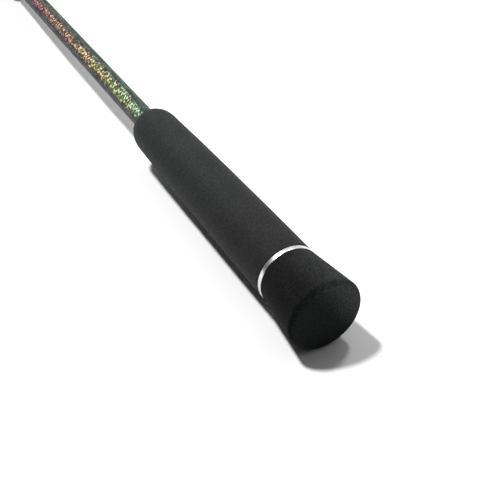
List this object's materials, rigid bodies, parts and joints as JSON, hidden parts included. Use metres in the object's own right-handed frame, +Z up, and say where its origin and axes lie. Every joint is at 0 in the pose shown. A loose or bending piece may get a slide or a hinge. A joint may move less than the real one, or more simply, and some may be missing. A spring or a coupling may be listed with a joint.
{
  "type": "spinning rod",
  "caption": "Two-piece spinning rod with a split foam handle, flared butt cap, screw-locked reel seat, ringed line guides and a pull-apart ferrule.",
  "frame": {"origin": "centre of the flat end face of the butt cap, on the rod axis", "axes": "+X along the rod axis from the butt to the tip; -Y is the side of the reel seat hoods and the line guides; +Z up when the rod lies on its side"},
  "size_m": [2.1008, 0.0479, 0.0292],
  "materials": {
    "carbon": "glossy dark carbon-fibre laminate under clear coat",
    "prism": "holographic film under clear coat",
    "eva": "fine-grained matt EVA foam",
    "polished": "polished",
    "seat": "satin black moulded nylon",
    "hood": "satin black moulded nylon",
    "band": "brushed",
    "arbor": "rigid foam",
    "wrap": "thread under epoxy",
    "guide": "grey titanium-coloured plating",
    "ceramic": "polished",
    "plug": "matt"
  },
  "bodies": {
    "butt_section": {"butt_blank": "carbon", "prism_sleeve": "prism", "butt_cap": "eva", "butt_trim_ring": "polished", "rear_grip": "eva", "seat_rear_grip": "eva", "seat_rear_ring": "polished", "reel_seat_tube": "seat", "fixed_hood": "hood", "fixed_hood_band": "band", "seat_arbors": "arbor", "foregrip": "eva", "foregrip_ring": "polished", "fore_wrap": "wrap", "hook_keeper": "band", "hook_keeper_wraps": "wrap", "ferrule_plug": "plug", "guide_1_frame": "guide", "guide_1_insert": "ceramic", "guide_1_wraps": "wrap"},
    "sliding_hood": {"sliding_hood": "hood", "sliding_hood_band": "band"},
    "lock_nut": {"lock_nut": "hood", "lock_nut_band": "polished"},
    "tip_section": {"tip_blank": "carbon", "ferrule_wrap": "wrap", "guide_2_frame": "guide", "guide_2_insert": "ceramic", "guide_2_wraps": "wrap", "guide_3_frame": "guide", "guide_3_insert": "ceramic", "guide_3_wraps": "wrap", "guide_4_frame": "guide", "guide_4_insert": "ceramic", "guide_4_wrap": "wrap", "guide_5_frame": "guide", "guide_5_insert": "ceramic", "guide_5_wrap": "wrap", "guide_6_frame": "guide", "guide_6_insert": "ceramic", "guide_6_wrap": "wrap", "guide_7_frame": "guide", "guide_7_insert": "ceramic", "guide_7_wrap": "wrap", "tip_top_frame": "guide", "tip_top_insert": "ceramic", "tip_top_wrap": "wrap"}
  },
  "joints": [
    {"name": "hood_slide", "type": "slide", "parent": "butt_section", "child": "sliding_hood", "axis": [-1, 0, 0], "range_m": [0, 0.02]},
    {"name": "nut_turn", "type": "hinge", "parent": "sliding_hood", "child": "lock_nut", "pos_m": [0.51, 0, 0], "axis": [-1, 0, 0], "range_deg": [0, 3600]},
    {"name": "ferrule_pull", "type": "slide", "parent": "butt_section", "child": "tip_section", "axis": [1, 0, 0], "range_m": [0, 0.12]}
  ],
  "couplings": [
    {"joint": "hood_slide", "follows": "nut_turn", "m_per_rad": 0.0003183}
  ]
}
